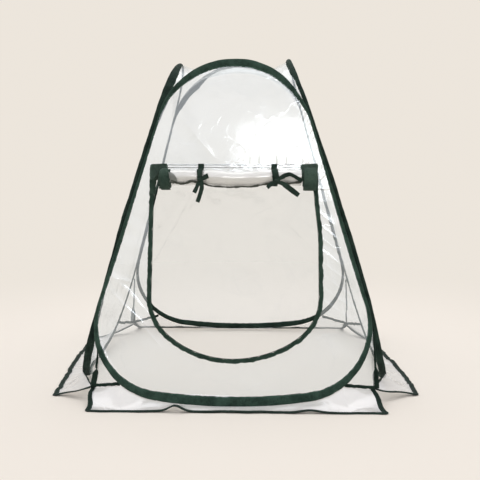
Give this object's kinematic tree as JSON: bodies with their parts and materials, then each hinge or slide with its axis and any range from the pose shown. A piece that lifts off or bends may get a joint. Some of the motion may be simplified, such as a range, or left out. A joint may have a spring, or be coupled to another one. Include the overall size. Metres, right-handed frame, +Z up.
{
  "type": "pop-up greenhouse",
  "caption": "Pop-up greenhouse with leaning sprung hoops in dark green sleeves, clear film walls and roof, ground flaps, and a zipped doorway whose door is rolled up and tied.",
  "frame": {"origin": "middle of the base on the ground, at the bottom centre of the bounding box", "axes": "+Z up, -Y out of the doorway, +X to the right of someone who looks at the doorway from outside"},
  "size_m": [0.884, 0.826, 0.8],
  "materials": {
    "sleeve_fabric": "dark green woven polyester sleeve",
    "clear_film": "clear glossy film with soft creases",
    "rolled_film": "clear film in many layers, milky where rolled",
    "binding_tape": "dark green woven tape",
    "zip_tape": "dark green zip tape",
    "ribbon": "dark green ribbon"
  },
  "bodies": {
    "root": {"front_hoop": "sleeve_fabric", "right_hoop": "sleeve_fabric", "back_hoop": "sleeve_fabric", "left_hoop": "sleeve_fabric", "front_panel": "clear_film", "right_panel": "clear_film", "back_panel": "clear_film", "left_panel": "clear_film", "roof_film": "clear_film", "front_left_gusset": "clear_film", "front_right_gusset": "clear_film", "right_front_gusset": "clear_film", "right_back_gusset": "clear_film", "back_right_gusset": "clear_film", "back_left_gusset": "clear_film", "left_back_gusset": "clear_film", "left_front_gusset": "clear_film", "front_left_corner_tape": "binding_tape", "front_right_corner_tape": "binding_tape", "back_right_corner_tape": "binding_tape", "back_left_corner_tape": "binding_tape", "front_hem_tape": "binding_tape", "right_hem_tape": "binding_tape", "back_hem_tape": "binding_tape", "left_hem_tape": "binding_tape", "front_flap": "clear_film", "right_flap": "clear_film", "back_flap": "clear_film", "left_flap": "clear_film", "front_flap_binding": "binding_tape", "right_flap_binding": "binding_tape", "back_flap_binding": "binding_tape", "left_flap_binding": "binding_tape", "door_zip_tape": "zip_tape", "door_header": "clear_film", "left_door_patch": "binding_tape", "right_door_patch": "binding_tape", "rolled_door": "rolled_film", "left_zip_roll": "zip_tape", "right_zip_roll": "zip_tape", "left_tie": "ribbon", "right_tie": "ribbon"}
  },
  "joints": []
}
